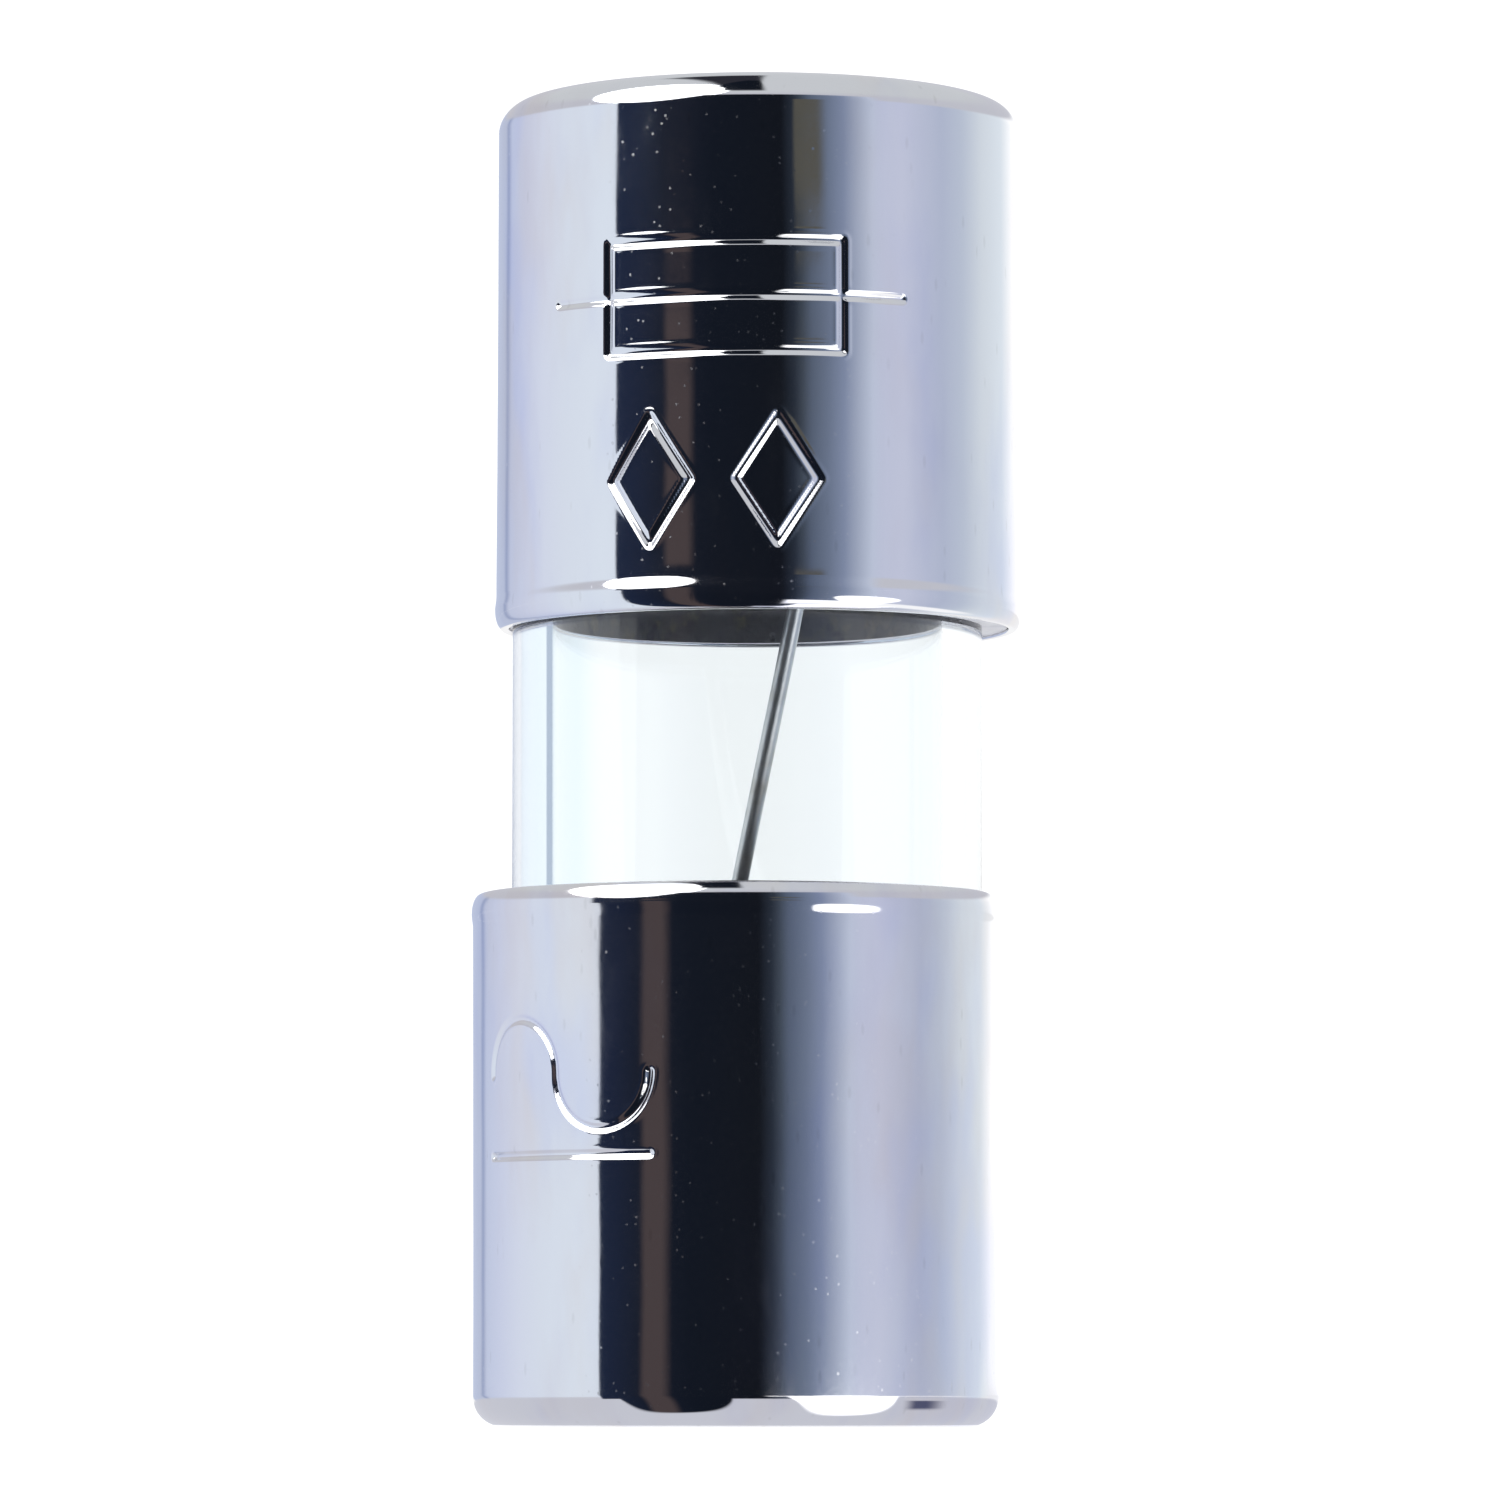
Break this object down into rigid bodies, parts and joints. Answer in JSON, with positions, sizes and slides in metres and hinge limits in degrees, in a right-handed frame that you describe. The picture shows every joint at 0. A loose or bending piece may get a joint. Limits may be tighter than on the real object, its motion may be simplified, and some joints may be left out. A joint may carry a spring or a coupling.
{
  "type": "cartridge fuse",
  "caption": "Short glass cartridge fuse: a clear tube closed by two drawn metal end caps, with a thin round fuse wire running diagonally from rim to rim",
  "frame": {"origin": "centre of the overall box's bottom: on the glass tube's axis, at the outer face of the lower cap", "axes": "+Z along the fuse from the lower cap to the upper cap; -Y is the side that faces the viewer; +X to the viewer's right"},
  "size_m": [0.0066, 0.0064, 0.0159],
  "materials": {
    "glass": "clear, fire-polished rims",
    "cap": "bright nickel plating over drawn brass",
    "wire": "tinned, drawn",
    "solder": "satin solder",
    "cement": "dry grey cement"
  },
  "bodies": {
    "root": {"glass_tube": "glass", "upper_cap": "cap", "lower_cap": "cap", "fuse_wire": "wire", "upper_solder": "solder", "lower_solder": "solder", "upper_cement": "cement", "lower_cement": "cement"}
  },
  "joints": []
}
